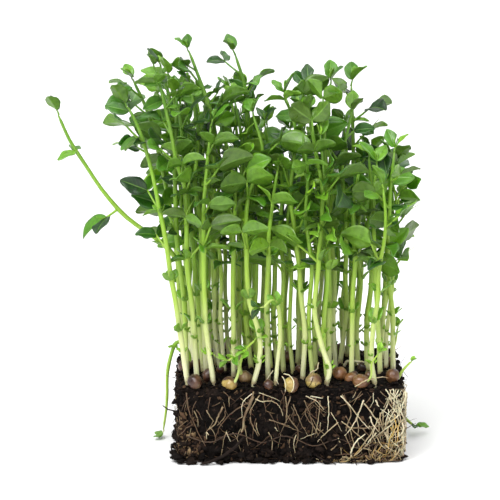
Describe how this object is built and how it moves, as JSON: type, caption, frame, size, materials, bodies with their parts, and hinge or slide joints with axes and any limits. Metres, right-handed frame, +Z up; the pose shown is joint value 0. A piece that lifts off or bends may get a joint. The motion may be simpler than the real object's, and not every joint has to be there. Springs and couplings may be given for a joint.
{
  "type": "pea shoot microgreens on a block of soil",
  "caption": "Dense stand of young pea shoots with split pea seeds, growing on a root-bound block of dark potting soil lifted out of its tray.",
  "frame": {"origin": "middle of the soil block's flat underside", "axes": "+Z up, +X to the right along the block's long side, +Y away from the front wall"},
  "size_m": [0.2123, 0.1118, 0.231],
  "materials": {
    "soil": "rough crumbly dark potting soil",
    "root": "matt cream roots",
    "seed": "satin brown seed coat with a tan seed leaf",
    "shoot": "satin green leaves on stems that fade to cream at the foot"
  },
  "bodies": {
    "root": {"root_web": "root", "seeds_1": "seed", "seeds_10": "seed", "seeds_11": "seed", "seeds_12": "seed", "seeds_13": "seed", "seeds_2": "seed", "seeds_3": "seed", "seeds_4": "seed", "seeds_5": "seed", "seeds_6": "seed", "seeds_7": "seed", "seeds_8": "seed", "seeds_9": "seed", "shoot_1": "shoot", "shoot_10": "shoot", "shoot_11": "shoot", "shoot_12": "shoot", "shoot_13": "shoot", "shoot_14": "shoot", "shoot_15": "shoot", "shoot_16": "shoot", "shoot_17": "shoot", "shoot_18": "shoot", "shoot_19": "shoot", "shoot_2": "shoot", "shoot_20": "shoot", "shoot_21": "shoot", "shoot_22": "shoot", "shoot_23": "shoot", "shoot_24": "shoot", "shoot_25": "shoot", "shoot_26": "shoot", "shoot_27": "shoot", "shoot_28": "shoot", "shoot_29": "shoot", "shoot_3": "shoot", "shoot_30": "shoot", "shoot_31": "shoot", "shoot_32": "shoot", "shoot_33": "shoot", "shoot_34": "shoot", "shoot_35": "shoot", "shoot_36": "shoot", "shoot_37": "shoot", "shoot_38": "shoot", "shoot_39": "shoot", "shoot_4": "shoot", "shoot_40": "shoot", "shoot_41": "shoot", "shoot_5": "shoot", "shoot_6": "shoot", "shoot_7": "shoot", "shoot_8": "shoot", "shoot_9": "shoot", "soil_block": "soil"}
  },
  "joints": []
}
